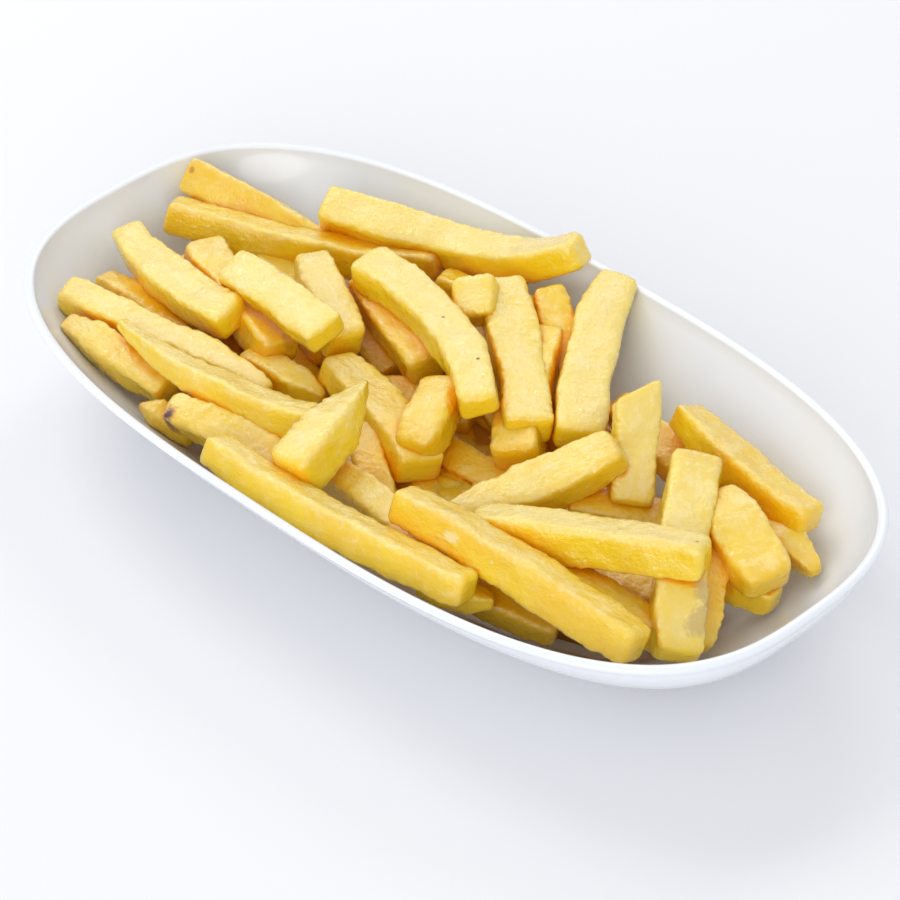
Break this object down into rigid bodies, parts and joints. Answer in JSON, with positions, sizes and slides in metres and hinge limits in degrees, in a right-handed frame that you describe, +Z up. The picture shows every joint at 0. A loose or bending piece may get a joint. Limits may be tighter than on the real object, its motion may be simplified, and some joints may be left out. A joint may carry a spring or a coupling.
{
  "type": "french fries portion",
  "caption": "Heap of thick-cut fried potato sticks resting in a shallow oval white porcelain serving dish with a thin rounded lip and flaring sides.",
  "frame": {"origin": "centre of the bounding box at its bottom, on the plane the dish's foot stands on, under the middle of the oval", "axes": "+X along the oval's long axis, towards the end with the bare wall; +Y across the dish; +Z up"},
  "size_m": [0.244, 0.131, 0.0489],
  "materials": {
    "porcelain": "glossy white glaze",
    "potato": "fried potato, pale golden with a slight oily sheen"
  },
  "bodies": {
    "root": {"dish": "porcelain", "fries_heap": "potato"}
  },
  "joints": []
}
